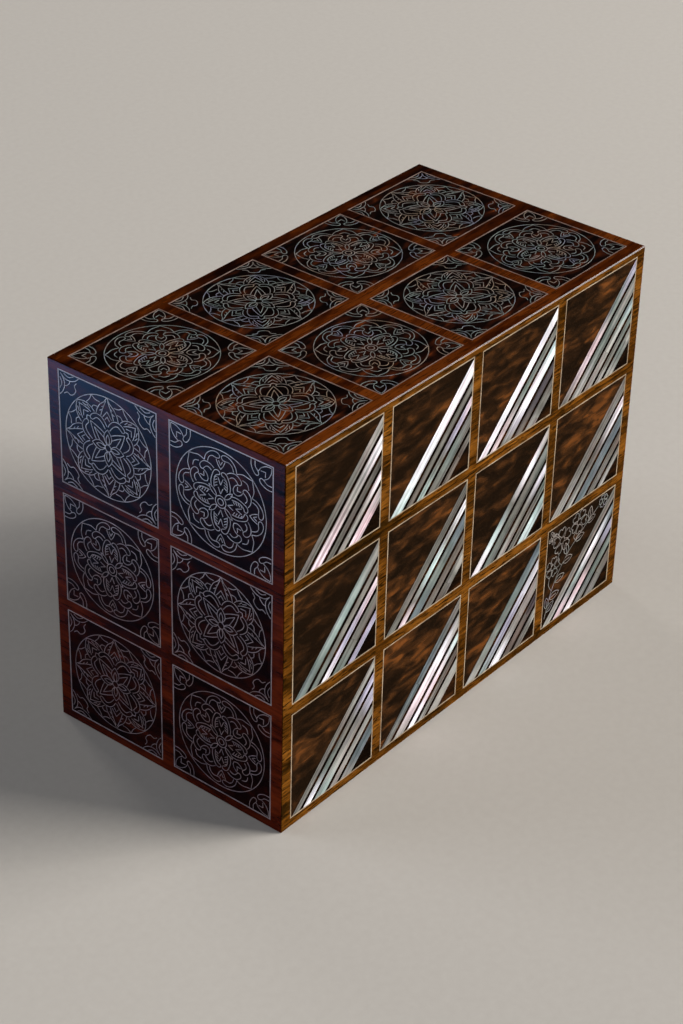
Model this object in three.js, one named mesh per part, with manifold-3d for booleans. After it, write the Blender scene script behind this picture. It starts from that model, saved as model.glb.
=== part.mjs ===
// A lidded keepsake box of mitred hardwood boards, sawn apart at the lid line, with square panels of
// dark wood set into shallow recesses in its top and its four sides. The lid drops over a tongue that
// stands up all round the body. Millimetres, +Z up, the long front at -Y, and the origin under the
// middle of the underside.

import * as THREE from 'three';
import { mergeVertices } from 'three/addons/utils/BufferGeometryUtils.js';
import Module from 'manifold-3d';

const wasm = await Module();
wasm.setup();

// Panels and the bars of board between them
const RECESS_SIDE = 35.4; // of the square recess that takes a panel and the string line around it
const STRING_WIDTH = 0.4; // of that line, and so of the channel left around a panel
const LENGTH_PANELS = 4; // along the front, the back and the top
const DEPTH_PANELS = 2; // across the ends and the top
const ROWS = 3; // up the walls, the highest row on the lid
const LENGTH_BAR = 3.6;
const DEPTH_BAR = 4.1;
const ROW_BAR = 3.25;
const EDGE_BAR = 3.8; // from an outer recess to the box's upright edge
const FOOT_BAR = 2.8; // under the lowest row
const HEAD_BAR = 2; // over the highest row

// Boards and panels
const BOARD = 7; // thickness
const PANEL = 2; // thickness
const GLUE = 0.3; // layer under a panel
const INLAY_RELIEF = 0.06; // a panel's face lies this far back, so that its inlay ends flush with the board
const CHAMFER = 0.25; // along the box's outer edges
const MITRE_LINE = 0.1; // gap between two mitred boards

// Lid line
const LID_LINE = 0.1; // gap between the lid and the body
const LID_PLAY = 0.3; // gap between the lid and the tongue
const TONGUE_HEIGHT = 2.5;
const TONGUE_THICKNESS = 2.4;

// Sizes that follow
const LENGTH = rowLength(LENGTH_PANELS, LENGTH_BAR) + 2 * EDGE_BAR;
const DEPTH = rowLength(DEPTH_PANELS, DEPTH_BAR) + 2 * EDGE_BAR;
const HEIGHT = FOOT_BAR + rowLength(ROWS, ROW_BAR) + HEAD_BAR;
const SEAM = FOOT_BAR + rowLength(ROWS - 1, ROW_BAR) + ROW_BAR / 2;
const RECESS_DEPTH = INLAY_RELIEF + PANEL + GLUE;
const REACH = LENGTH + DEPTH + HEIGHT; // past every edge of the box
const MITRE_SHIFT = MITRE_LINE / 2 * Math.SQRT2; // of a mitred end, measured along the board

const BOARD_WOOD = new THREE.MeshStandardMaterial({ color: 0x7a3d16, roughness: 0.3, metalness: 0 });
const PANEL_WOOD = new THREE.MeshStandardMaterial({ color: 0x1a0f0b, roughness: 0.25, metalness: 0 });

// Length of a row of recesses with the bars between them.
function rowLength(count, bar) {
  return count * RECESS_SIDE + (count - 1) * bar;
}

// Middles of a row of panels, about the row's own middle.
function panelCentres(count, bar) {
  const middle = (count - 1) / 2;
  return Array.from({ length: count }, (_, i) => (i - middle) * (RECESS_SIDE + bar));
}

// Turns a closed geometry into a solid that can be joined and cut.
function solidOf(geometry) {
  const bare = geometry.clone();
  bare.deleteAttribute('normal');
  bare.deleteAttribute('uv');
  const merged = mergeVertices(bare);
  return new wasm.Manifold(new wasm.Mesh({
    numProp: 3,
    vertProperties: merged.attributes.position.array,
    triVerts: Uint32Array.from(merged.index.array),
  }));
}

// Turns a solid back into a geometry with flat faces.
function geometryOf(solid) {
  const { vertProperties, triVerts } = solid.getMesh();
  const indexed = new THREE.BufferGeometry();
  indexed.setAttribute('position', new THREE.BufferAttribute(vertProperties, 3));
  indexed.setIndex(new THREE.BufferAttribute(triVerts, 1));
  const flat = indexed.toNonIndexed();
  flat.computeVertexNormals();
  return flat;
}

// Each face of the box is drawn in its own frame: x along it, y up it and z out of it, with z = 0 on the
// board's outer surface. A board's section is a closed outline of [distance along, distance out] points.

// The end of a section at a mitred edge of the box, from the outer surface to the inner one. way is 1 at
// the section's high end and -1 at its low end.
function mitredEnd(edge, way) {
  const cut = (CHAMFER - MITRE_SHIFT) / 2;
  return [
    [edge - way * CHAMFER, 0],
    [edge - way * (CHAMFER - cut), -cut],
    [edge - way * (BOARD + MITRE_SHIFT), -BOARD],
  ];
}

// A board mitred at both ends.
function mitredSection(length) {
  return [...mitredEnd(-length / 2, -1), ...mitredEnd(length / 2, 1).reverse()];
}

// A wall of the body, from its mitre at the floor up to the lid line and the tongue.
function bodySection() {
  const tongueFace = TONGUE_THICKNESS - BOARD;
  const tongueTop = SEAM + TONGUE_HEIGHT;
  return [
    ...mitredEnd(0, -1),
    [tongueTop, -BOARD],
    [tongueTop, tongueFace],
    [SEAM, tongueFace],
    [SEAM, 0],
  ];
}

// A wall of the lid, from the lid line with its rebate for the tongue up to its mitre at the top.
function lidSection() {
  const rebateFace = TONGUE_THICKNESS - BOARD + LID_PLAY;
  const rebateTop = SEAM + TONGUE_HEIGHT + LID_PLAY;
  const foot = SEAM + LID_LINE;
  return [
    [foot, 0],
    [foot, rebateFace],
    [rebateTop, rebateFace],
    [rebateTop, -BOARD],
    ...mitredEnd(HEIGHT, 1).reverse(),
  ];
}

// A solid of a section, laid with its distance along the given axis and run both ways square to it.
function runOf(section, along) {
  const outline = new THREE.Shape(section.map(([x, y]) => new THREE.Vector2(x, y)));
  const geometry = new THREE.ExtrudeGeometry(outline, { depth: 2 * REACH, bevelEnabled: false });
  const out = new THREE.Vector3(0, 0, 1);
  const axes = new THREE.Matrix4().makeBasis(along, out, along.clone().cross(out));
  return solidOf(geometry.translate(0, 0, -REACH).applyMatrix4(axes));
}

// The middles of a face's panels, named by row from the top and column from the left.
function panelPlaces(columns, rows) {
  return rows.flatMap(({ name, y }) => columns.map((x, i) => ({ name: `${name}_${i + 1}`, x, y })));
}

// A board cut to its two sections, with a recess for each panel.
function boardMesh(name, acrossSection, upSection, places) {
  const across = runOf(acrossSection, new THREE.Vector3(1, 0, 0));
  const up = runOf(upSection, new THREE.Vector3(0, 1, 0));
  let solid = across.intersect(up);
  for (const { x, y } of places) {
    const recess = new THREE.BoxGeometry(RECESS_SIDE, RECESS_SIDE, 2 * RECESS_DEPTH);
    solid = solid.subtract(solidOf(recess.translate(x, y, 0)));
  }
  const mesh = new THREE.Mesh(geometryOf(solid), BOARD_WOOD);
  mesh.name = name;
  return mesh;
}

// A panel, with the string line's channel around it.
function panelMesh(name, x, y) {
  const side = RECESS_SIDE - 2 * STRING_WIDTH;
  const mesh = new THREE.Mesh(new THREE.BoxGeometry(side, side, PANEL), PANEL_WOOD);
  mesh.position.set(x, y, -INLAY_RELIEF - PANEL / 2);
  mesh.name = name;
  return mesh;
}

// Rows of panels on a wall, from the lid down.
function wallRows() {
  return Array.from({ length: ROWS }, (_, i) => ({
    name: `row${i + 1}`,
    y: HEIGHT - HEAD_BAR - RECESS_SIDE / 2 - i * (RECESS_SIDE + ROW_BAR),
  }));
}

// One upright side of the box: its wall of the lid, its wall of the body and their panels.
function wall(side, width, columns, distance, turn) {
  const face = new THREE.Group();
  face.rotation.set(Math.PI / 2, 0, turn, 'ZXY');
  face.position.set(Math.sin(turn) * distance, -Math.cos(turn) * distance, 0);
  const across = mitredSection(width);
  const [lidRow, ...bodyRows] = wallRows();
  const lidPlaces = panelPlaces(columns, [lidRow]);
  const bodyPlaces = panelPlaces(columns, bodyRows);
  face.add(boardMesh(`lid_${side}`, across, lidSection(), lidPlaces));
  face.add(boardMesh(`body_${side}`, across, bodySection(), bodyPlaces));
  for (const { name, x, y } of [...lidPlaces, ...bodyPlaces]) {
    face.add(panelMesh(`panel_${side}_${name}`, x, y));
  }
  return face;
}

// The lid's top board with its panels.
function top(lengthColumns, depthColumns) {
  const face = new THREE.Group();
  face.position.z = HEIGHT;
  const rows = depthColumns.map((y, i) => ({ name: `row${DEPTH_PANELS - i}`, y }));
  const places = panelPlaces(lengthColumns, rows);
  face.add(boardMesh('lid_top', mitredSection(LENGTH), mitredSection(DEPTH), places));
  for (const { name, x, y } of places) {
    face.add(panelMesh(`panel_top_${name}`, x, y));
  }
  return face;
}

// The body's plain floor board, seen from below.
function floor() {
  const face = new THREE.Group();
  face.rotation.x = Math.PI;
  face.add(boardMesh('body_floor', mitredSection(LENGTH), mitredSection(DEPTH), []));
  return face;
}

const lengthColumns = panelCentres(LENGTH_PANELS, LENGTH_BAR);
const depthColumns = panelCentres(DEPTH_PANELS, DEPTH_BAR);

const box = new THREE.Group();
box.add(floor());
box.add(wall('front', LENGTH, lengthColumns, DEPTH / 2, 0));
box.add(wall('right', DEPTH, depthColumns, LENGTH / 2, Math.PI / 2));
box.add(wall('back', LENGTH, lengthColumns, DEPTH / 2, Math.PI));
box.add(wall('left', DEPTH, depthColumns, LENGTH / 2, -Math.PI / 2));
box.add(top(lengthColumns, depthColumns));

export default box;
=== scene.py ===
"""Looks of a lidded keepsake box: boards of figured red-brown wood, square panels of dark figured wood
framed by light string lines, and mother-of-pearl inlaid in the panels. Inlay is drawn in each panel's
own millimetres, x along the panel, y up it and z out of it, from the middle of the panel's face."""

import math
import random

import bpy
from mathutils import Matrix, Quaternion, Vector
from mathutils.geometry import interpolate_bezier


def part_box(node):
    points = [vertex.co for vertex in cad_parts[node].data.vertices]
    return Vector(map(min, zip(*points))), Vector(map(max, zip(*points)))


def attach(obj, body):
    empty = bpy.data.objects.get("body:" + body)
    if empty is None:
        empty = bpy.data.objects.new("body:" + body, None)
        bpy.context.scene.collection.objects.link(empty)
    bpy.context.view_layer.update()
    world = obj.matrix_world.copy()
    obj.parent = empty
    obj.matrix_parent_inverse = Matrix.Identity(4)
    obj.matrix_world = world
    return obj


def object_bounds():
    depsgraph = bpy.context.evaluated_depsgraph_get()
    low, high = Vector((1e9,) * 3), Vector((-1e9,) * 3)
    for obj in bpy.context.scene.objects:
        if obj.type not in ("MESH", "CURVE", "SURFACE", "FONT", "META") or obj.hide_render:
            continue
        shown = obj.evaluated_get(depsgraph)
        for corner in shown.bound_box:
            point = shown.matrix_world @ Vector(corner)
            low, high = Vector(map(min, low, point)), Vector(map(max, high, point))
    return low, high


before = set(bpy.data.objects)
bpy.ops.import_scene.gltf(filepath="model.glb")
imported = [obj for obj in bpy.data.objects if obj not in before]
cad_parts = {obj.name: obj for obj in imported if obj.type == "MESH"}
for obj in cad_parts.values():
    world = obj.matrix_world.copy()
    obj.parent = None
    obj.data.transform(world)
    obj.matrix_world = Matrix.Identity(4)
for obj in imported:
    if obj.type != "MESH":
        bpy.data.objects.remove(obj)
cad_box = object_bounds()

MM = 0.001
BODY = "root"

# Each side of the box, by the directions along it and up it as seen from outside
SIDES = {
    "front": ((1, 0, 0), (0, 0, 1)),
    "right": ((0, 1, 0), (0, 0, 1)),
    "back": ((-1, 0, 0), (0, 0, 1)),
    "left": ((0, -1, 0), (0, 0, 1)),
    "top": ((1, 0, 0), (0, 1, 0)),
}
ENDS = ("left", "right")

# Inlay, in millimetres
INLAY_TOP = 0.05  # over the panel's face, a hair under the board's surface
INLAY_FOOT = -0.3  # under the panel's face
STRING_WIDTH = 0.4  # fills the channel around a panel
LINE_WIDTH = 0.29  # of a medallion's lines
FINE_WIDTH = 0.28  # of the sprig's lines
EDGE_SLOPE = 0.05  # by which an inlaid piece is narrower at its top, on each side
CURVE_STEP = 0.3  # between points of a drawn curve
CLOSED = 1e-6  # a line whose ends are nearer than this is closed on itself

# Slanting strips, measured along the panel's lower edge
STRIP_WIDTHS = {"n": 3.0, "m": 3.7, "w": 4.8}
STRIP_START = 0.4
STRIP_GAP = 1.7
STRIP_JOINT = 0.06  # gap between two lengths of shell in one strip
STRIP_SECTIONS = 10  # along a length of shell
STRIP_SEED = 7
JOINT_COUNTS = (0, 0, 0, 1)  # a strip in four has a joint
JOINT_SPAN = (0.15, 0.85)  # where along a strip its joint may lie
SHADE_SPAN = (0.92, 1.08)  # by which a length of shell is darker or lighter than its tones
DRIFT_SPAN = (-0.08, 0.08)  # by which its tones move along the strip
GRAIN_SPAN = (0, 500)  # from which its grain is taken

# The bands along the lid line, a painted highlight over it and painted shade under it, in millimetres up the
# boards and in shade
LIT_HEIGHT = 2.0
LIT_SHADE = 1.4
DIM_HEIGHT = 1.3
DIM_SHADE = 0.45
LID_STEP = 0.02  # over which one band turns into the other

# Woods
GRAIN_STEP = (83.0, 47.0, 31.0)  # between the woods of two sides
PANEL_SEED = 11
PANEL_SPREAD = 500  # within which a panel's piece of wood is taken
PANEL_CLOUDING = (-0.03, 0.01)  # away from the front
NO_LEAN = (0, 0, 0)

# Heights in millimetres between which the shell lines and string lines of the ends turn to a painted sheen, a
# paler tone painted over their upper part
LINE_SHEEN_HEIGHTS = (50.0, 108.0)
STRING_SHEEN_HEIGHTS = (72.0, 112.0)

# Stage, in metres
FLOOR_REACH = 6.0
LIGHT_DISTANCE = 4.0
CAMERA_PLACE = (-0.4876, -0.3823, 0.4473)
CAMERA_TARGET = (-0.0142, -0.0070, 0.0574)
CAMERA_ROLL = 1.57  # degrees
CAMERA_LENS = 89.27  # millimetres, as the sensor's height
SENSOR_HEIGHT = 36

# Each light's way from the box, size, power and colour, and whether polished faces mirror it
LIGHTS = {
    "key": ((0.6, -0.74, 0.34), 1.85, 237.0, (1.0, 0.97, 0.93), False),
    "edge": ((0.76, -0.45, 0.48), 1.2, 52.0, (1.0, 0.98, 0.98), True),
    "fill": ((-0.75, -0.5, 0.6), 3.0, 19.0, (0.9, 0.94, 1.0), False),
    "back_fill": ((-0.5, 0.8, 0.55), 2.5, 44.0, (0.85, 0.9, 1.0), False),
    "rear": ((0.3, 0.9, 0.13), 1.0, 60.0, (1.0, 0.98, 0.96), False),
}

# The room: its dark, its glow by the ways that it comes from, the wall that the camera sees, the floor
ROOM = (0.008, 0.008, 0.009, 1)
GLOW = (0.5, 1.25, 2.8, 1)
GLOW_WAY = (-0.7, 0.7, 0)
GLOW_SPREAD = (0.5, 0.8)  # along that way, from none to all of it
GLOW_FOOT = (-0.514, -0.47)  # up from none to all of it
GLOW_HEAD = (-0.4, -0.44)  # down from none to all of it
WALL = (205, 200, 194)
FLOOR_TONES = (196, 190, 182), (204, 199, 191)
FLOOR_ROUGHNESS = 0.9


def panel_names(side):
    """The panels of one side, row by row from the top and left to right."""
    return sorted(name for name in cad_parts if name.startswith(f"panel_{side}_"))


def panel_half():
    """Half the side of a panel, in millimetres."""
    low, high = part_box(panel_names("front")[0])
    return (high.x - low.x) / 2 / MM


def panel_place(name):
    """The matrix from a panel's own millimetres to the box."""
    across, up = (Vector(axis) for axis in SIDES[name.split("_")[1]])
    out = across.cross(up)
    low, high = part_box(name)
    face = (low + high) / 2 + out * abs((high - low).dot(out)) / 2
    return Matrix.Translation(face) @ turned(across, up) @ Matrix.Scale(MM, 4)


def turned(across, up):
    """The rotation that lays x and y along two directions."""
    across, up = Vector(across), Vector(up)
    return Matrix((across, up, across.cross(up))).transposed().to_4x4()


HALF = panel_half()
SPRIG_PANEL = panel_names("front")[-1]


class Solids:
    """Closed bodies gathered into one mesh. Each point has a tone, and its place along and across the
    piece of shell that it belongs to."""

    def __init__(self):
        self.place = Matrix.Identity(4)
        self.points = []
        self.faces = []
        self.tones = []
        self.grains = []

    def loft(self, sections, tones=None, grains=None, closed=False):
        """One body through sections of as many points each, closed on itself or capped at both ends."""
        first = len(self.points)
        size = len(sections[0])
        count = len(sections)
        for i, section in enumerate(sections):
            for j, point in enumerate(section):
                self.points.append(self.place @ Vector(point))
                self.tones.append(tones[i] if tones else (1, 1, 1, 1))
                self.grains.append(grains[i][j] if grains else (0, 0, 0))
        for i in range(count if closed else count - 1):
            here, there = first + i * size, first + (i + 1) % count * size
            for j in range(size):
                k = (j + 1) % size
                self.faces.append((here + k, there + k, there + j, here + j))
        if not closed:
            self.faces.append(tuple(first + j for j in reversed(range(size))))
            self.faces.append(tuple(first + (count - 1) * size + j for j in range(size)))

    def piece(self, name, material, slot):
        """The gathered mesh as one piece of the box."""
        mesh = bpy.data.meshes.new(name)
        mesh.from_pydata(self.points, [], self.faces)
        tone = mesh.attributes.new("tone", "FLOAT_COLOR", "POINT")
        tone.data.foreach_set("color", [value for colour in self.tones for value in colour])
        grain = mesh.attributes.new("grain", "FLOAT_VECTOR", "POINT")
        grain.data.foreach_set("vector", [value for place in self.grains for value in place])
        mesh.materials.append(material)
        piece = bpy.data.objects.new(name, mesh)
        bpy.context.scene.collection.objects.link(piece)
        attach(piece, BODY)


def bar_section(low, high):
    """The four corners of a bar between two points across it, sunk in the panel and sloped at its sides."""
    slope = (high - low).normalized() * EDGE_SLOPE
    top = Vector((0, 0, INLAY_TOP))
    foot = Vector((0, 0, INLAY_FOOT))
    return [low + foot, low + slope + top, high - slope + top, high + foot]


# Drawn lines


def smooth(points):
    """A smooth line through the points, with a point about every step."""
    points = [Vector((*point, 0)) for point in points]
    last = len(points) - 1
    ways = [(points[min(i + 1, last)] - points[max(i - 1, 0)]).normalized() for i in range(last + 1)]
    line = [points[0]]
    for i in range(last):
        reach = (points[i + 1] - points[i]).length
        steps = max(2, math.ceil(reach / CURVE_STEP) + 1)
        handles = points[i] + ways[i] * reach / 3, points[i + 1] - ways[i + 1] * reach / 3
        line += interpolate_bezier(points[i], *handles, points[i + 1], steps)[1:]
    return line


def ring(radius, centre=(0, 0)):
    """A circle, whose last point meets its first."""
    steps = math.ceil(2 * math.pi * radius / CURVE_STEP)
    turns = (2 * math.pi * i / steps for i in range(steps + 1))
    return [Vector((centre[0] + radius * math.cos(t), centre[1] + radius * math.sin(t), 0)) for t in turns]


def draw_line(solids, line, width):
    """Lays one line of shell along the points of a curve."""
    closed = (line[0] - line[-1]).length < CLOSED
    line = line[:-1] if closed else line
    count = len(line)
    sections = []
    for i, point in enumerate(line):
        before = line[i - 1] if closed or i > 0 else point
        after = line[(i + 1) % count] if closed or i < count - 1 else point
        way = (after - before).normalized()
        side = Vector((way.y, -way.x, 0)) * width / 2
        sections.append(bar_section(point - side, point + side))
    solids.loft(sections, closed=closed)


def fourfold(halves):
    """Each line of half a quarter, mirrored and turned to all four quarters of a medallion."""
    lines = []
    for half in halves:
        line = smooth(half)
        for quarter in range(4):
            turn = Matrix.Rotation(quarter * math.pi / 2, 3, "Z")
            for mirror in (1, -1):
                lines.append([turn @ Vector((mirror * p.x, p.y, 0)) for p in line])
    return lines


def in_corners(halves):
    """Each line of half a corner, given by its distances from the panel's two edges, in all corners."""
    lines = []
    for half in halves:
        line = smooth(half)
        for x_way in (1, -1):
            for y_way in (1, -1):
                lines.append([Vector((x_way * (HALF - p.x), y_way * (HALF - p.y), 0)) for p in line])
                lines.append([Vector((x_way * (HALF - p.y), y_way * (HALF - p.x), 0)) for p in line])
    return lines


def arched_medallion():
    """A four-petalled flower in a ring of heart lobes and pointed arches, with buds in the corners."""
    petals = [
        [(0.3, 1.0), (1.15, 2.1), (1.42, 3.2), (0.95, 4.5), (0, 5.7)],
        [(0.25, 1.1), (0.62, 2.3), (0.5, 3.2), (0, 4.2)],
    ]
    leaves = [
        [(1.05, 4.15), (2.6, 4.95), (4.4, 5.65), (6.2, 6.2)],
        [(1.5, 2.9), (3.2, 3.95), (4.85, 4.85)],
    ]
    lobes = [
        [(0.2, 6.6), (0.95, 7.8), (2.2, 8.9), (3.8, 9.2), (5.2, 8.7), (6.1, 7.75), (6.05, 7.05),
         (5.4, 6.85), (4.8, 7.3), (3.8, 7.95), (2.7, 7.65), (1.65, 6.75), (0.8, 5.6)],
    ]
    chevrons = [
        [(0, 11.2), (1.6, 9.1)],
        [(0, 9.6), (0.85, 8.45)],
        [(8.6, 8.6), (6.8, 8.6)],
        [(7.4, 7.4), (6.3, 7.5)],
    ]
    arches = [
        [(0, 15.4), (1.0, 13.9), (2.4, 12.7), (3.5, 11.0), (4.0, 9.4)],
        [(0.3, 14.4), (1.1, 12.6), (1.8, 10.9), (2.3, 9.3)],
        [(1.05, 12.6), (1.9, 12.0)],
        [(1.55, 11.4), (2.6, 10.7)],
    ]
    diagonal_leaves = [
        [(10.8, 10.8), (9.3, 11.2), (7.4, 11.2), (5.9, 10.6), (4.6, 9.5)],
        [(10.3, 10.1), (8.7, 9.9), (7.1, 9.5), (5.9, 9.0)],
        [(8.9, 10.7), (7.5, 10.2)],
        [(7.3, 10.7), (6.3, 9.8)],
    ]
    rim = [
        [(5.6, 14.3), (6.2, 12.9), (7.4, 11.5)],
        [(5.6, 14.3), (4.2, 13.4), (2.5, 13.2)],
        [(5.5, 10.5), (4.9, 11.35), (3.6, 11.5)],
    ]
    corner = [
        [(0.6, 0.6), (2.2, 1.8), (4.0, 2.0), (5.9, 1.3), (7.2, 0.2)],
        [(1.9, 0.4), (3.6, 1.0), (5.4, 0.2)],
        [(4.0, 2.1), (3.75, 2.85), (3.3, 3.3)],
        [(6.4, 1.8), (5.65, 3.0), (6.1, 4.1), (5.8, 4.9), (5.4, 5.4)],
    ]
    halves = petals + leaves + lobes + chevrons + arches + diagonal_leaves + rim
    return [ring(1.05), ring(15.4)] + fourfold(halves) + in_corners(corner)


def scrolled_medallion():
    """Four ribbed fans around a ringed centre, inside two rounds of hooked scrolls, with hearts in the
    corners."""
    leaves = [
        [(1.3, 1.3), (1.7, 2.4), (2.75, 3.5), (4.0, 4.0)],
    ]
    fans = [
        [(3.1, 3.4), (3.3, 5.4), (2.75, 7.5), (2.0, 8.85), (1.05, 9.2), (0.3, 8.75), (0.4, 8.1), (1.15, 7.8),
         (1.9, 7.1), (2.25, 5.4), (2.2, 3.8)],
        [(0, 5.1), (0.85, 7.1)],
        [(0, 2.4), (0.8, 4.2)],
    ]
    ribs = [[(2.0, 4.2 + 0.85 * i), (1.15, 4.75 + 0.85 * i)] for i in range(4)]
    hearts = [
        [(4.5, 4.5), (4.25, 5.6), (4.8, 6.8), (5.7, 7.5)],
        [(5.6, 5.6), (5.75, 6.9)],
    ]
    inner_scrolls = [
        [(2.2, 9.3), (3.3, 10.0), (4.7, 10.3), (6.0, 9.9), (7.0, 8.75), (6.8, 7.8), (6.0, 7.6), (5.5, 8.2),
         (4.7, 8.85), (3.85, 8.85), (3.1, 8.3)],
    ]
    outer_scrolls = [
        [(5.5, 10.6), (5.0, 12.3), (3.65, 13.75), (2.2, 14.35), (1.05, 14.3), (0.3, 13.65), (0.6, 12.9),
         (1.55, 12.7), (2.8, 12.8), (3.85, 12.1), (4.4, 10.7)],
    ]
    buds = [
        [(0, 9.8), (0.85, 10.9), (1.5, 12.4)],
        [(0, 11.0), (0.65, 12.2)],
    ]
    rim = [
        [(10.7, 10.7), (9.4, 10.9), (7.6, 11.2), (6.35, 10.9), (5.5, 10.5)],
        [(7.4, 9.5), (8.6, 9.2), (8.95, 8.95)],
    ]
    corner = [
        [(0.1, 7.1), (1.7, 7.1), (3.4, 6.4), (4.25, 5.4), (3.8, 4.6), (2.8, 4.9), (1.8, 5.7), (0.2, 5.8)],
        [(0.3, 0.4), (0.5, 2.1), (1.5, 3.8), (2.8, 4.7)],
        [(2.3, 2.3), (2.4, 3.9)],
    ]
    halves = leaves + fans + ribs + hearts + inner_scrolls + outer_scrolls + buds + rim
    return [ring(0.95), ring(1.8), ring(15.35)] + fourfold(halves) + in_corners(corner)


def placed(points, x, y, turn):
    """A smooth line through the points, turned by degrees and moved."""
    rotation = Matrix.Rotation(math.radians(turn), 3, "Z")
    return [rotation @ point + Vector((x, y, 0)) for point in smooth(points)]


def leaf(x, y, length, turn):
    """A pointed leaf with a rib, from its stalk."""
    side = [(0, 0), (0.35, 0.24), (0.75, 0.17), (1, 0)]
    lines = [placed([(0, 0), (0.7 * length, 0)], x, y, turn)]
    for mirror in (1, -1):
        lines.append(placed([(a * length, mirror * b * length) for a, b in side], x, y, turn))
    return lines


def blossom(x, y, radius, turn):
    """Five notched petals round a ring."""
    half = [(0.3, 0.08), (0.62, 0.38), (0.95, 0.36), (1.0, 0.12), (0.86, 0)]
    lines = [ring(0.27 * radius, (x, y))]
    for i in range(5):
        for mirror in (1, -1):
            lines.append(placed([(a * radius, mirror * b * radius) for a, b in half], x, y, turn + 72 * i))
    return lines


def butterfly(x, y, size, turn):
    """Two pairs of wings about a slim body with feelers."""
    halves = [
        [(0.05, 0.2), (0.5, 0.75), (1.0, 0.8), (0.95, 0.35), (0.5, 0.08), (0.05, 0)],
        [(0.05, 0), (0.5, -0.05), (0.75, -0.4), (0.5, -0.75), (0.2, -0.5), (0.05, -0.1)],
        [(0.25, 0.28), (0.75, 0.58)],
        [(0.25, -0.16), (0.52, -0.48)],
        [(0.04, 0.3), (0.15, 0.65), (0.35, 0.85)],
    ]
    lines = [placed([(0, -0.5 * size), (0, 0.32 * size)], x, y, turn)]
    for half in halves:
        for mirror in (1, -1):
            lines.append(placed([(mirror * a * size, b * size) for a, b in half], x, y, turn))
    return lines


def sprig():
    """A flowering branch that climbs along the strips, with a butterfly over it."""
    lines = [
        smooth([(-16.2, -14.5), (-14.4, -8.0), (-10.8, -0.8), (-5.4, 5.0), (1.4, 9.6), (9.0, 14.0)]),
        smooth([(-13.4, -5.6), (-15.2, -2.6), (-14.8, 0.2)]),
        smooth([(-9.0, 1.6), (-11.0, 4.4), (-10.6, 6.6)]),
        smooth([(-2.4, 7.4), (-3.4, 9.0), (-2.6, 10.2)]),
    ]
    blossoms = (
        (-13.6, 3.0, 3.4, 80), (-9.6, 10.8, 4.3, 95), (-1.0, 13.2, 3.9, 60), (11.6, 14.8, 2.2, 30),
    )
    leaves = (
        (-15.7, -12.4, 4.6, 34), (-14.4, -8.0, 5.2, 6), (-15.3, -11.2, 4.4, 98), (-12.0, -3.2, 5.0, 12),
        (-8.4, 2.2, 5.0, 4), (-6.4, 4.2, 4.8, 104), (-2.6, 7.2, 4.8, 8), (3.4, 10.8, 4.4, 12),
        (4.6, 11.6, 4.4, 84),
    )
    for place in blossoms:
        lines += blossom(*place)
    for place in leaves:
        lines += leaf(*place)
    return lines + butterfly(-14.7, 13.8, 2.2, -35)


# Strips

# Tones of shell, in sRGB. The palest, W, R and M, are partly the shell's own pale nacre and partly painted
# glints
SHELL_TONES_AND_GLINTS = {
    "W": (250, 244, 253),
    "R": (238, 214, 224),
    "P": (206, 184, 190),
    "L": (177, 171, 194),
    "M": (198, 216, 217),
    "A": (150, 163, 161),
    "S": (154, 150, 146),
    "E": (110, 118, 114),
    "G": (117, 113, 108),
    "B": (104, 113, 118),
    "T": (106, 97, 91),
    "D": (80, 74, 78),
}

# Five strips to each front panel: a width, then a few tones from the lower end to the upper end
FRONT_STRIPS = (
    "mGGS wRSW nGGG nSSW wRPS",
    "wMWWW nTGG nAGLP wGEG nTTG",
    "mWWW nPEG wGWM mTDD wSGG",
    "mGPEL wSES mSSA nSGE wSES",
    "wEAS nEGG nWLR wEGG nLLL",
    "mGGG nRGMSW wBEB mGTT wTGS",
    "mWMGWS wEGE mSGW nGGE wMMA",
    "wSGG mSGW wBBB mGGT nSSG",
    "nGGS nWEGL wASGL nSSS wSBB",
    "mGBG wSRWS nWRM nSGT wSSS",
    "wSEB mALW wWSS mTTD mTGS",
    "mSGG mRAWB mWPGL mGEE wGGT",
)

# How far each front panel's wood turns to its lightest tone
FRONT_CLOUDING = (-0.03, 0, 0.03, 0.02, -0.04, 0.03, -0.03, 0.04, -0.01, 0.04, 0.01, -0.05)

# Three plainer strips to each back panel, in turn
BACK_STRIPS = ("mGGS wEES nGSS", "wEGS nSSG mGGE", "nSGG mSSE wGGS")


def linear(red, green, blue):
    """A colour for a shader, from sRGB values."""
    channels = (value / 255 for value in (red, green, blue))
    return (*((c / 12.92 if c < 0.04045 else ((c + 0.055) / 1.055) ** 2.4) for c in channels), 1)


def blended(colours, share):
    """The colour at a share of the way along a few evenly spaced ones, quickest between two of them."""
    spot = min(max(share, 0), 1) * (len(colours) - 1)
    i = min(int(spot), len(colours) - 2)
    part = spot - i
    return Vector(colours[i]).lerp(Vector(colours[i + 1]), part * part * (3 - 2 * part))


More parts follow.
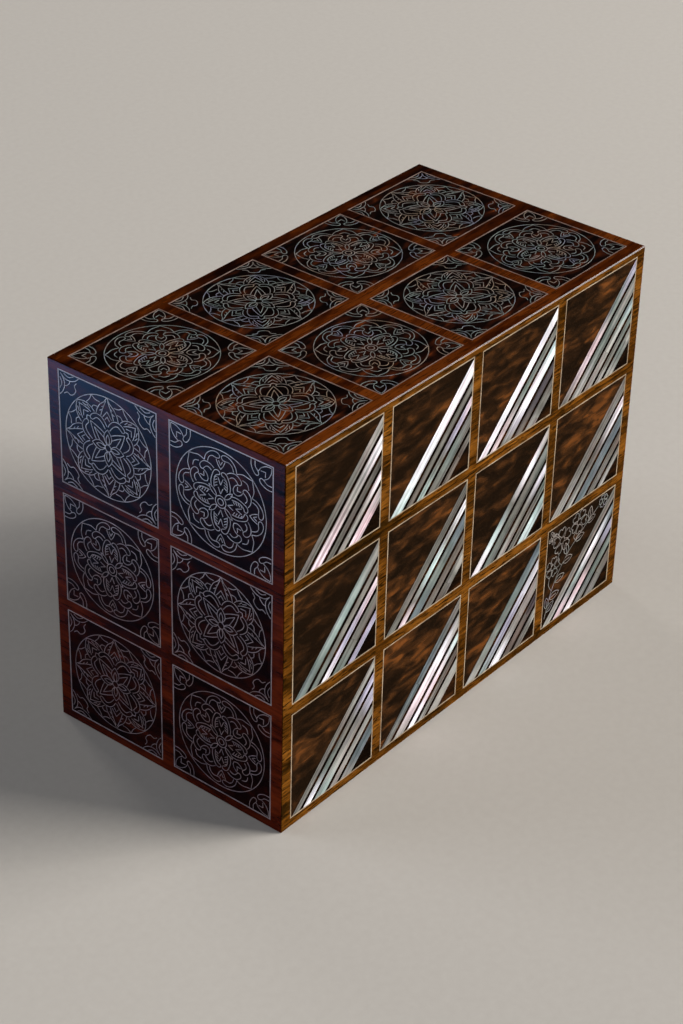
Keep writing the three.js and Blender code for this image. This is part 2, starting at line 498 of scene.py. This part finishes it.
def strip(solids, start, width, tones, rng):
    """One slanting strip, cut off by the panel's lower and right edges and made of a few lengths of shell."""
    def edge(distance, share):
        low = Vector((distance - HALF, -HALF, 0))
        high = Vector((HALF, HALF - distance, 0))
        return low.lerp(high, share)

    length = (edge(start, 1) - edge(start, 0)).length
    joints = sorted(rng.uniform(*JOINT_SPAN) for _ in range(rng.choice(JOINT_COUNTS)))
    ends = [0, *joints, 1]
    # the palest tones stand partly for painted glints on the shell
    colours = [linear(*SHELL_TONES_AND_GLINTS[tone]) for tone in tones]
    gap = STRIP_JOINT / 2 / length
    for begin, end in zip(ends, ends[1:]):
        begin = begin + gap if begin else 0
        end = end - gap if end < 1 else 1
        shade = rng.uniform(*SHADE_SPAN)
        drift = rng.uniform(*DRIFT_SPAN)
        seed = rng.uniform(*GRAIN_SPAN)
        shares = [begin + (end - begin) * i / STRIP_SECTIONS for i in range(STRIP_SECTIONS + 1)]
        sections = [bar_section(edge(start, share), edge(start + width, share)) for share in shares]
        shell_tones = [(*(blended(colours, share + drift).xyz * shade), 1) for share in shares]
        corners = (0, 0, width, width)
        grains = [[(share * length, across, seed) for across in corners] for share in shares]
        solids.loft(sections, shell_tones, grains)


def strips(solids, pattern, rng):
    """The strips of one panel, from the diagonal down."""
    start = STRIP_START
    for word in pattern.split():
        width = STRIP_WIDTHS[word[0]]
        strip(solids, start, width, word[1:], rng)
        start += width + STRIP_GAP


def string_square(solids):
    """The string line around a panel, mitred at its corners."""
    inner, outer = HALF, HALF + STRING_WIDTH
    corners = [Vector(ways) for ways in ((-1, -1, 0), (1, -1, 0), (1, 1, 0), (-1, 1, 0))]
    solids.loft([bar_section(corner * inner, corner * outer) for corner in corners], closed=True)


# Materials


class Nodes:
    """The nodes of a material or of the world. An input is a number, a colour or another node's socket."""

    def __init__(self, owner):
        self.owner = owner
        owner.use_nodes = True
        self.tree = owner.node_tree

    def put(self, node, name, value):
        """Sets one input, or links it."""
        if isinstance(value, bpy.types.NodeSocket):
            self.tree.links.new(value, node.inputs[name])
        else:
            node.inputs[name].default_value = value

    def add(self, kind, inputs, output=0, **settings):
        """A new node's output."""
        node = self.tree.nodes.new(kind)
        for name, value in settings.items():
            setattr(node, name, value)
        for name, value in inputs.items():
            self.put(node, name, value)
        return node.outputs[output]

    def noise(self, place, stretch, detail=3.0, distortion=0.0):
        """Noise with a number of waves to the millimetre along each axis."""
        scaled = self.add("ShaderNodeMapping", {"Vector": place, "Scale": stretch})
        return self.add("ShaderNodeTexNoise", {"Vector": scaled, "Scale": 1.0, "Detail": detail,
                                               "Distortion": distortion})

    def ranged(self, value, low, high, to_low=0.0, to_high=1.0):
        """A value spread from one range to another, and held at its ends."""
        return self.add("ShaderNodeMapRange", {"Value": value, "From Min": low, "From Max": high,
                                               "To Min": to_low, "To Max": to_high})

    def mix(self, factor, first, second, blend_type="MIX"):
        """Two colours mixed. Inputs 6 and 7 and output 2 of the node are its colours."""
        inputs = {0: factor, 6: first, 7: second}
        return self.add("ShaderNodeMix", inputs, 2, data_type="RGBA", blend_type=blend_type)

    def maths(self, operation, first, second):
        """The result of one operation on two numbers."""
        return self.add("ShaderNodeMath", {0: first, 1: second}, operation=operation)

    def total(self, *shares):
        """The sum of values, each with its weight."""
        result = 0.0
        for value, weight in shares:
            result = self.maths("ADD", result, self.maths("MULTIPLY", value, weight))
        return result

    def ramp(self, value, colours):
        """A colour by value, from evenly spaced ones."""
        output = self.add("ShaderNodeValToRGB", {"Fac": value})
        stops = output.node.color_ramp.elements
        for i, colour in enumerate(colours):
            spot = i / (len(colours) - 1)
            stop = stops[i] if i < 2 else stops.new(spot)
            stop.position = spot
            stop.color = colour
        return output

    def shaded(self, colour, shade):
        """A colour made darker or lighter by a number."""
        grey = self.add("ShaderNodeCombineColor", {0: shade, 1: shade, 2: shade})
        return self.mix(1.0, colour, grey, "MULTIPLY")

    def own_place(self, matrix):
        """A point in the millimetres that the matrix takes to the box."""
        where = self.add("ShaderNodeTexCoord", {}, "Object")
        location, rotation, scale = matrix.decompose()
        inputs = {"Vector": where, "Location": location, "Rotation": rotation.to_euler(), "Scale": scale}
        return self.add("ShaderNodeMapping", inputs, vector_type="TEXTURE")

    def height(self, place, axis):
        """A place's measure along one axis."""
        return self.add("ShaderNodeSeparateXYZ", {"Vector": place}, axis)

    def along(self, place, way):
        """A place's measure along any way."""
        return self.add("ShaderNodeVectorMath", {0: place, 1: way}, "Value", operation="DOT_PRODUCT")

    def moved(self, place, shift):
        """A place moved by a step."""
        return self.add("ShaderNodeVectorMath", {0: place, 1: shift}, operation="ADD")

    def bump(self, height, depth, strength):
        """A surface roughened by a height, over a depth in millimetres."""
        return self.add("ShaderNodeBump", {"Height": height, "Distance": depth * MM, "Strength": strength})

    def finish(self, colour, roughness, normal, specular):
        """The finished material."""
        shader = self.tree.nodes["Principled BSDF"]
        for name, value in (("Base Color", colour), ("Roughness", roughness), ("Normal", normal),
                            ("Specular IOR Level", specular)):
            self.put(shader, name, value)
        return self.owner


def colours_of(tones):
    """Colours for a shader, from a few sRGB tones."""
    return [linear(*tone) for tone in tones]


def board_wood(name, matrix, shift, tones, streak, lean, seam):
    """Polished hardwood: bands and clouds of tone, fibres and short dark pores along the grain, as strong
    as streak says. It turns lighter by lean to the millimetre along each axis. Over the lid line it has a
    painted highlight, a lighter band, and under it painted shade, a darker band."""
    nodes = Nodes(bpy.data.materials.new(name))
    own = nodes.own_place(matrix)
    place = nodes.moved(own, shift)
    slope = nodes.along(own, lean)
    bands = nodes.noise(place, (0.016, 0.12, 0.12), detail=2.0)
    clouds = nodes.noise(place, (0.06, 0.19, 0.19), detail=3.0, distortion=0.6)
    ripples = nodes.noise(place, (0.14, 0.75, 0.75), detail=2.0, distortion=0.4)
    fibres = nodes.noise(place, (0.11, 1.7, 1.7), detail=4.0)
    pores = nodes.noise(place, (0.26, 1.9, 1.9), detail=2.0)
    figure = nodes.total((bands, 0.42), (clouds, 0.4), (ripples, 0.18), (slope, 1.0))
    height = nodes.height(own, "Y")
    on_lid = nodes.ranged(height, seam - LID_STEP, seam)
    on_body = nodes.maths("SUBTRACT", 1.0, on_lid)
    # painted highlight: a lighter band over the lid line; painted shade: a darker band under it
    over = nodes.ranged(height, seam, seam + LIT_HEIGHT, LIT_SHADE, 1.0)
    under = nodes.ranged(height, seam - DIM_HEIGHT, seam, 1.0, DIM_SHADE)
    painted_lid_line_light = nodes.total((over, on_lid), (under, on_body))
    tone = nodes.shaded(nodes.ramp(nodes.ranged(figure, 0.37, 0.61), colours_of(tones)), painted_lid_line_light)
    streaked = nodes.shaded(tone, nodes.ranged(fibres, 0.32, 0.68, 1 - 0.5 * streak, 1 + 0.26 * streak))
    fleck = nodes.ranged(pores, 0.55, 0.65, 0.0, 0.9 * streak)
    colour = nodes.mix(fleck, streaked, linear(*(0.5 * c for c in tones[0])))
    relief = nodes.total((fibres, 0.3), (fleck, -1.0))
    roughness = nodes.ranged(fibres, 0.3, 0.7, 0.14, 0.22)
    return nodes.finish(colour, roughness, nodes.bump(relief, 0.02, 0.15), specular=0.5)


def panel_wood(name, shift, tones, clouding, half_dark):
    """Polished dark wood with clouds of brown drawn out along the grain. The half under the strips is
    darker still."""
    nodes = Nodes(bpy.data.materials.new(name.replace("panel", "panel_wood")))
    own = nodes.own_place(panel_place(name))
    place = nodes.moved(own, shift)
    clouds = nodes.noise(place, (0.045, 0.14, 0.14), detail=1.5, distortion=0.5)
    mottle = nodes.noise(place, (0.14, 0.36, 0.36), detail=1.0, distortion=0.5)
    ripples = nodes.noise(place, (0.16, 0.95, 0.95), detail=1.0)
    fibres = nodes.noise(place, (0.1, 2.2, 2.2), detail=2.0)
    figure = nodes.total((clouds, 0.38), (mottle, 0.53), (ripples, 0.09))
    tone = nodes.ramp(nodes.ranged(figure, 0.42 - clouding, 0.7 - clouding), colours_of(tones))
    colour = nodes.shaded(tone, nodes.ranged(fibres, 0.3, 0.7, 0.84, 1.1))
    if half_dark:
        under = nodes.along(own, (1, -1, 0))
        colour = nodes.shaded(colour, nodes.ranged(under, -0.2, 0.2, 1.0, 0.35))
    roughness = nodes.ranged(fibres, 0.3, 0.7, 0.12, 0.2)
    return nodes.finish(colour, roughness, nodes.bump(fibres, 0.01, 0.1), specular=0.5)


def strip_shell():
    """Mother-of-pearl in strips: each has its own tones, the palest of them partly painted glints, with silky
    lines along it, painted glints that rise and fall along it, and a faint drift of pink and green."""
    nodes = Nodes(bpy.data.materials.new("strip_shell"))
    tone = nodes.add("ShaderNodeAttribute", {}, "Color", attribute_name="tone")
    place = nodes.add("ShaderNodeAttribute", {}, "Vector", attribute_name="grain")
    streaks = nodes.noise(place, (0.02, 0.36, 1.0), detail=2.0, distortion=0.15)
    threads = nodes.noise(place, (0.008, 0.72, 1.0), detail=1.0)
    glints = nodes.noise(place, (0.14, 0.12, 1.0), detail=2.0, distortion=0.4)
    hue = nodes.noise(place, (0.06, 0.3, 1.0), detail=1.0, distortion=0.3)
    silk_and_glints = nodes.ranged(streaks, 0.34, 0.66, 0.76, 1.2)
    silk_and_glints = nodes.maths("MULTIPLY", silk_and_glints, nodes.ranged(threads, 0.5, 0.6, 1.06, 0.66))
    # painted glints: stretches of each strip made brighter and darker along its length
    silk_and_glints = nodes.maths("MULTIPLY", silk_and_glints, nodes.ranged(glints, 0.35, 0.65, 0.82, 1.2))
    tints = (255, 245, 248), (250, 250, 250), (244, 251, 249), (245, 246, 255)
    tint = nodes.ramp(nodes.ranged(hue, 0.3, 0.7), colours_of(tints))
    colour = nodes.mix(1.0, nodes.shaded(tone, silk_and_glints), tint, "MULTIPLY")
    roughness = nodes.ranged(streaks, 0.3, 0.7, 0.3, 0.16)
    return nodes.finish(colour, roughness, nodes.bump(streaks, 0.01, 0.2), specular=0.5)


def line_shell(name, tones, painted_sheen=None):
    """Mother-of-pearl cut into fine lines, drifting between a few tones, and higher up towards a painted
    sheen where it has one, a paler tone painted over the upper part in place of reflected light."""
    nodes = Nodes(bpy.data.materials.new(name))
    place = nodes.own_place(Matrix.Scale(MM, 4))
    hue = nodes.noise(place, (0.1, 0.1, 0.1), detail=2.0, distortion=0.8)
    glints = nodes.noise(place, (0.5, 0.5, 0.5), detail=2.0)
    tint = nodes.ramp(nodes.ranged(hue, 0.32, 0.68), colours_of(tones))
    if painted_sheen:
        # painted sheen: the lines turn to a paler tone higher up
        tint = nodes.mix(nodes.ranged(nodes.height(place, "Z"), *LINE_SHEEN_HEIGHTS), tint, linear(*painted_sheen))
    colour = nodes.shaded(tint, nodes.ranged(glints, 0.32, 0.68, 0.62, 1.25))
    roughness = nodes.ranged(glints, 0.3, 0.7, 0.46, 0.36)
    return nodes.finish(colour, roughness, nodes.bump(glints, 0.01, 0.2), specular=0.8)


def string_wood(name, dark, light, painted_sheen=None):
    """Pale wood string, a little uneven along its length, and drifting higher up to a painted sheen where
    it has one, a paler tone painted over the upper part in place of reflected light."""
    nodes = Nodes(bpy.data.materials.new(name))
    place = nodes.own_place(Matrix.Scale(MM, 4))
    uneven = nodes.noise(place, (0.3, 0.3, 0.3), detail=3.0)
    fibres = nodes.noise(place, (2.5, 2.5, 2.5), detail=2.0)
    colour = nodes.mix(nodes.ranged(uneven, 0.35, 0.65), linear(*dark), linear(*light))
    if painted_sheen:
        # painted sheen: the strings turn to a paler tone higher up
        colour = nodes.mix(nodes.ranged(nodes.height(place, "Z"), *STRING_SHEEN_HEIGHTS), colour, linear(*painted_sheen))
    roughness = nodes.ranged(fibres, 0.3, 0.7, 0.32, 0.46)
    return nodes.finish(colour, roughness, nodes.bump(fibres, 0.01, 0.2), specular=0.8)


# Pieces


def finish_boards():
    """Gives each side's boards their own wood: golden along the front and back, redder elsewhere."""
    golden = (44, 25, 2), (90, 52, 8), (130, 80, 23)
    russet = (20, 3, 0), (72, 27, 1), (107, 50, 10)
    maroon = (20, 3, 1), (80, 23, 4), (118, 43, 12)
    woods = {
        "front": (golden, 1.0, NO_LEAN),
        "back": (golden, 1.0, NO_LEAN),
        "left": (maroon, 0.4, NO_LEAN),
        "right": (maroon, 0.4, NO_LEAN),
        "top": (russet, 0.6, (-0.0003, -0.0018, 0)),
        "floor": (maroon, 0.7, NO_LEAN),
    }
    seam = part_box("lid_front")[0].z / MM
    for i, (side, (tones, streak, lean)) in enumerate(woods.items()):
        across, up = SIDES.get(side, SIDES["top"])
        matrix = turned(across, up) @ Matrix.Scale(MM, 4)
        shift = [step * i for step in GRAIN_STEP]
        wood = board_wood(f"board_wood_{side}", matrix, shift, tones, streak, lean, seam)
        for name in (f"body_{side}", f"lid_{side}"):
            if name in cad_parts:
                clothe(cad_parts[name], wood)


def finish_panels():
    """Gives each panel its own wood: brown along the front and back, near black elsewhere."""
    brown = (27, 17, 8), (42, 26, 13), (72, 43, 20), (110, 64, 28)
    black = (7, 2, 1), (19, 7, 4), (54, 22, 9), (104, 48, 18)
    plum = (22, 5, 5), (38, 10, 7), (58, 17, 9), (80, 27, 12)
    woods = {"front": brown, "back": brown, "left": plum, "right": plum, "top": black}
    rng = random.Random(PANEL_SEED)
    for side, tones in woods.items():
        for i, name in enumerate(panel_names(side)):
            shift = [rng.uniform(-PANEL_SPREAD, PANEL_SPREAD) for _ in range(3)]
            clouding = rng.uniform(*PANEL_CLOUDING)
            if side == "front":
                clouding = FRONT_CLOUDING[i]
            wood = panel_wood(name, shift, tones, clouding, half_dark=tones is brown)
            clothe(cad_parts[name], wood)


def clothe(node, material):
    """Gives every face of a solid one material."""
    for slot in node.material_slots:
        slot.material = material


def lay_strings():
    """The string lines of each side, greyer on the top and at the ends."""
    cream = string_wood("string_wood", (140, 123, 102), (178, 162, 140))
    dun = string_wood("string_wood_top", (121, 100, 90), (154, 132, 123))
    # the ends' strings carry a painted sheen, paler higher up
    grey = string_wood("string_wood_ends", (146, 132, 136), (178, 168, 178), painted_sheen=(212, 215, 237))
    woods = {"front": cream, "right": grey, "back": cream, "left": grey, "top": dun}
    for side in SIDES:
        solids = Solids()
        for name in panel_names(side):
            solids.place = panel_place(name)
            string_square(solids)
        solids.piece(f"string_lines_{side}", woods[side], "string_line")


def lay_strips(material):
    """The slanting strips of the front and, fewer of them, of the back."""
    rng = random.Random(STRIP_SEED)
    for side, patterns in (("front", FRONT_STRIPS), ("back", BACK_STRIPS)):
        for i, name in enumerate(panel_names(side)):
            solids = Solids()
            solids.place = panel_place(name)
            strips(solids, patterns[i % len(patterns)], rng)
            solids.piece(name.replace("panel", "strips"), material, "shell")


def lay_lines(name, panel, lines, width, material):
    """One panel's drawn lines, as one piece."""
    solids = Solids()
    solids.place = panel_place(panel)
    for line in lines:
        draw_line(solids, line, width)
    solids.piece(name, material, "shell")


def lay_medallions():
    """The two medallions take turns along each row and up each column."""
    designs = arched_medallion(), scrolled_medallion()
    end_tones = (146, 126, 130), (152, 135, 140), (146, 133, 146), (150, 131, 131)
    top_tones = (146, 127, 108), (138, 132, 128), (126, 138, 134), (132, 132, 148)
    # the ends' lines carry a painted sheen, paler higher up
    end_shell = line_shell("line_shell_ends", end_tones, painted_sheen=(224, 232, 254))
    top_shell = line_shell("line_shell_top", top_tones)
    for side in ("left", "right", "top"):
        for panel in panel_names(side):
            row, column = (int(word[-1]) for word in panel.split("_")[2:])
            design = designs[(row + column + (side == "top")) % 2]
            material = end_shell if side in ENDS else top_shell
            lay_lines(panel.replace("panel", "medallion"), panel, design, LINE_WIDTH, material)


def lay_sprig():
    """The sprig in the front's last panel."""
    tones = (152, 140, 132), (144, 138, 134), (138, 142, 138), (142, 138, 148)
    shell = line_shell("line_shell_front", tones)
    lay_lines("sprig_front", SPRIG_PANEL, sprig(), FINE_WIDTH, shell)


# Stage


def add_light(name, direction, size, power, colour, mirrored):
    """A square soft light that faces the middle of the box, seen in polished faces or not."""
    light = bpy.data.lights.new(name, "AREA")
    light.size = size
    light.energy = power
    light.color = colour
    lamp = bpy.data.objects.new(name, light)
    middle = (cad_box[0] + cad_box[1]) / 2
    way = Vector(direction).normalized()
    lamp.location = middle + way * LIGHT_DISTANCE
    lamp.rotation_euler = way.to_track_quat("Z", "Y").to_euler()
    lamp.visible_glossy = mirrored
    lamp.visible_camera = False
    bpy.context.scene.collection.objects.link(lamp)


def add_floor():
    """A wide pale floor under the box."""
    mesh = bpy.data.meshes.new("floor")
    corners = [(x * FLOOR_REACH, y * FLOOR_REACH, 0) for x, y in ((-1, -1), (1, -1), (1, 1), (-1, 1))]
    mesh.from_pydata(corners, [], [(0, 1, 2, 3)])
    nodes = Nodes(bpy.data.materials.new("floor_paper"))
    speckle = nodes.noise(nodes.own_place(Matrix.Scale(MM, 4)), (0.4, 0.4, 0.4), detail=3.0)
    tone = nodes.mix(speckle, *colours_of(FLOOR_TONES))
    paper = nodes.finish(tone, FLOOR_ROUGHNESS, nodes.bump(speckle, 0.02, 0.1), specular=0.0)
    mesh.materials.append(paper)
    floor = bpy.data.objects.new("floor", mesh)
    floor.visible_glossy = False
    bpy.context.scene.collection.objects.link(floor)


def add_camera():
    """A camera at the photo's viewing angle."""
    camera = bpy.data.cameras.new("camera")
    camera.sensor_fit = "VERTICAL"
    camera.sensor_height = SENSOR_HEIGHT
    camera.lens = CAMERA_LENS
    rig = bpy.data.objects.new("camera", camera)
    place = Vector(CAMERA_PLACE)
    roll = Quaternion((0, 0, 1), math.radians(CAMERA_ROLL))
    turn = (Vector(CAMERA_TARGET) - place).to_track_quat("-Z", "Y") @ roll
    rig.matrix_world = Matrix.Translation(place) @ turn.to_matrix().to_4x4()
    bpy.context.scene.collection.objects.link(rig)
    bpy.context.scene.camera = rig


def add_world():
    """A dark studio with a cool glow low behind the left end. The camera itself sees a pale wall."""
    nodes = Nodes(bpy.data.worlds.new("studio"))
    way = nodes.add("ShaderNodeTexCoord", {}, "Generated")
    height = nodes.height(way, "Z")
    over = nodes.ranged(height, *GLOW_FOOT)
    under = nodes.ranged(height, *GLOW_HEAD)
    behind = nodes.ranged(nodes.along(way, GLOW_WAY), *GLOW_SPREAD)
    glow = nodes.maths("MULTIPLY", nodes.maths("MULTIPLY", over, under), behind)
    room = nodes.mix(glow, ROOM, GLOW)
    seen = nodes.add("ShaderNodeLightPath", {}, "Is Camera Ray")
    colour = nodes.mix(seen, room, linear(*WALL))
    nodes.put(nodes.tree.nodes["Background"], "Color", colour)
    bpy.context.scene.world = nodes.owner


def set_stage():
    """The camera, the room, the floor and the lights."""
    add_camera()
    add_world()
    add_floor()
    for name, values in LIGHTS.items():
        add_light(name, *values)
    bpy.context.scene.view_settings.view_transform = "Standard"


finish_boards()
finish_panels()
lay_strings()
lay_strips(strip_shell())
lay_medallions()
lay_sprig()
set_stage()
